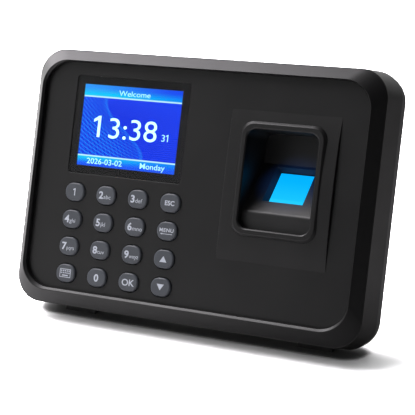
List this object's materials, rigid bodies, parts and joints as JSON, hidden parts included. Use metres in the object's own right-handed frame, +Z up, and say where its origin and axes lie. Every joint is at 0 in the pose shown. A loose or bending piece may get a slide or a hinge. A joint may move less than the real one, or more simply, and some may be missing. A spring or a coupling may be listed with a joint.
{
  "type": "fingerprint scanner terminal",
  "caption": "Desktop fingerprint time terminal: wide rounded housing leaning back on a fold-out stand, with a small screen, a numeric keypad and a finger pocket.",
  "frame": {"origin": "on the surface that it stands on, under the middle of the object's bounding box", "axes": "+X to the right of a person facing it, +Y towards its back, +Z up; the face looks along -Y and 16 degrees up"},
  "size_m": [0.1686, 0.066, 0.1204],
  "materials": {
    "front_shell": "fine satin moulded plastic",
    "rear_shell": "satin moulded plastic with a fine spark texture",
    "window_lens": "gloss, clear in front of the picture",
    "black_tape": "matt adhesive tape",
    "lcd_screen": "lit picture",
    "white_frame": "moulded white plastic",
    "flex_circuit": "amber polyimide",
    "well_plastic": "satin moulded plastic",
    "seal_rubber": "soft matt",
    "sensor_glass": "clear optical glass, lit blue from below",
    "blue_light": "glowing blue diffuser",
    "circuit_board": "green solder mask",
    "screw_steel": "zinc plated",
    "flat_cable": "white film with fine tinned lines",
    "mat_silicone": "translucent grey silicone",
    "chip_black": "moulded black epoxy",
    "socket_ivory": "ivory nylon",
    "cell_steel": "bright rolled steel",
    "speaker_metal": "dull coated steel",
    "speaker_film": "thin black film",
    "wire_red": "soft red insulation",
    "socket_steel": "nickel plated",
    "jack_plastic": "moulded black nylon",
    "foot_rubber": "matt rubber",
    "stand_plastic": "satin moulded plastic",
    "pin_steel": "ground steel",
    "key_plastic": "satin grey key tops with white legends"
  },
  "bodies": {
    "terminal": {"front_cover": "front_shell", "rear_cover": "rear_shell", "display_window": "window_lens", "window_tape": "black_tape", "lcd_glass": "lcd_screen", "backlight_frame": "white_frame", "display_flex": "flex_circuit", "finger_well": "well_plastic", "sensor_gasket": "seal_rubber", "sensor_window": "sensor_glass", "sensor_light": "blue_light", "sensor_housing": "well_plastic", "sensor_board": "circuit_board", "sensor_screws": "screw_steel", "sensor_cable": "flat_cable", "keypad_mat": "mat_silicone", "keypad_board": "circuit_board", "keypad_screws": "screw_steel", "main_board": "circuit_board", "board_chips": "chip_black", "board_sockets": "socket_ivory", "board_screws": "screw_steel", "board_cable": "flat_cable", "coin_cell_holder": "chip_black", "coin_cell": "cell_steel", "speaker_basket": "speaker_metal", "speaker_cone": "speaker_film", "speaker_wires": "wire_red", "usb_socket": "socket_steel", "power_jack": "jack_plastic", "case_screws": "screw_steel", "rubber_feet": "foot_rubber"},
    "stand": {"stand_leg": "stand_plastic", "stand_pin": "pin_steel", "stand_pad": "foot_rubber"},
    "key_1": {"key_1": "key_plastic"},
    "key_2": {"key_2": "key_plastic"},
    "key_3": {"key_3": "key_plastic"},
    "key_esc": {"key_esc": "key_plastic"},
    "key_4": {"key_4": "key_plastic"},
    "key_5": {"key_5": "key_plastic"},
    "key_6": {"key_6": "key_plastic"},
    "key_menu": {"key_menu": "key_plastic"},
    "key_7": {"key_7": "key_plastic"},
    "key_8": {"key_8": "key_plastic"},
    "key_9": {"key_9": "key_plastic"},
    "key_up": {"key_up": "key_plastic"},
    "key_input": {"key_input": "key_plastic"},
    "key_0": {"key_0": "key_plastic"},
    "key_ok": {"key_ok": "key_plastic"},
    "key_down": {"key_down": "key_plastic"}
  },
  "joints": [
    {"name": "stand_fold", "type": "hinge", "parent": "terminal", "child": "stand", "pos_m": [0, 0.01561, 0.07535], "axis": [1, 0, 0], "range_deg": [-27.9, 0]},
    {"name": "key_1_press", "type": "slide", "parent": "terminal", "child": "key_1", "axis": [0, 0.9613, -0.2756], "range_m": [0, 0.0009], "stiffness_N_per_m": 500, "springref_m": -0.0006},
    {"name": "key_2_press", "type": "slide", "parent": "terminal", "child": "key_2", "axis": [0, 0.9613, -0.2756], "range_m": [0, 0.0009], "stiffness_N_per_m": 500, "springref_m": -0.0006},
    {"name": "key_3_press", "type": "slide", "parent": "terminal", "child": "key_3", "axis": [0, 0.9613, -0.2756], "range_m": [0, 0.0009], "stiffness_N_per_m": 500, "springref_m": -0.0006},
    {"name": "key_esc_press", "type": "slide", "parent": "terminal", "child": "key_esc", "axis": [0, 0.9613, -0.2756], "range_m": [0, 0.0009], "stiffness_N_per_m": 500, "springref_m": -0.0006},
    {"name": "key_4_press", "type": "slide", "parent": "terminal", "child": "key_4", "axis": [0, 0.9613, -0.2756], "range_m": [0, 0.0009], "stiffness_N_per_m": 500, "springref_m": -0.0006},
    {"name": "key_5_press", "type": "slide", "parent": "terminal", "child": "key_5", "axis": [0, 0.9613, -0.2756], "range_m": [0, 0.0009], "stiffness_N_per_m": 500, "springref_m": -0.0006},
    {"name": "key_6_press", "type": "slide", "parent": "terminal", "child": "key_6", "axis": [0, 0.9613, -0.2756], "range_m": [0, 0.0009], "stiffness_N_per_m": 500, "springref_m": -0.0006},
    {"name": "key_menu_press", "type": "slide", "parent": "terminal", "child": "key_menu", "axis": [0, 0.9613, -0.2756], "range_m": [0, 0.0009], "stiffness_N_per_m": 500, "springref_m": -0.0006},
    {"name": "key_7_press", "type": "slide", "parent": "terminal", "child": "key_7", "axis": [0, 0.9613, -0.2756], "range_m": [0, 0.0009], "stiffness_N_per_m": 500, "springref_m": -0.0006},
    {"name": "key_8_press", "type": "slide", "parent": "terminal", "child": "key_8", "axis": [0, 0.9613, -0.2756], "range_m": [0, 0.0009], "stiffness_N_per_m": 500, "springref_m": -0.0006},
    {"name": "key_9_press", "type": "slide", "parent": "terminal", "child": "key_9", "axis": [0, 0.9613, -0.2756], "range_m": [0, 0.0009], "stiffness_N_per_m": 500, "springref_m": -0.0006},
    {"name": "key_up_press", "type": "slide", "parent": "terminal", "child": "key_up", "axis": [0, 0.9613, -0.2756], "range_m": [0, 0.0009], "stiffness_N_per_m": 500, "springref_m": -0.0006},
    {"name": "key_input_press", "type": "slide", "parent": "terminal", "child": "key_input", "axis": [0, 0.9613, -0.2756], "range_m": [0, 0.0009], "stiffness_N_per_m": 500, "springref_m": -0.0006},
    {"name": "key_0_press", "type": "slide", "parent": "terminal", "child": "key_0", "axis": [0, 0.9613, -0.2756], "range_m": [0, 0.0009], "stiffness_N_per_m": 500, "springref_m": -0.0006},
    {"name": "key_ok_press", "type": "slide", "parent": "terminal", "child": "key_ok", "axis": [0, 0.9613, -0.2756], "range_m": [0, 0.0009], "stiffness_N_per_m": 500, "springref_m": -0.0006},
    {"name": "key_down_press", "type": "slide", "parent": "terminal", "child": "key_down", "axis": [0, 0.9613, -0.2756], "range_m": [0, 0.0009], "stiffness_N_per_m": 500, "springref_m": -0.0006}
  ]
}
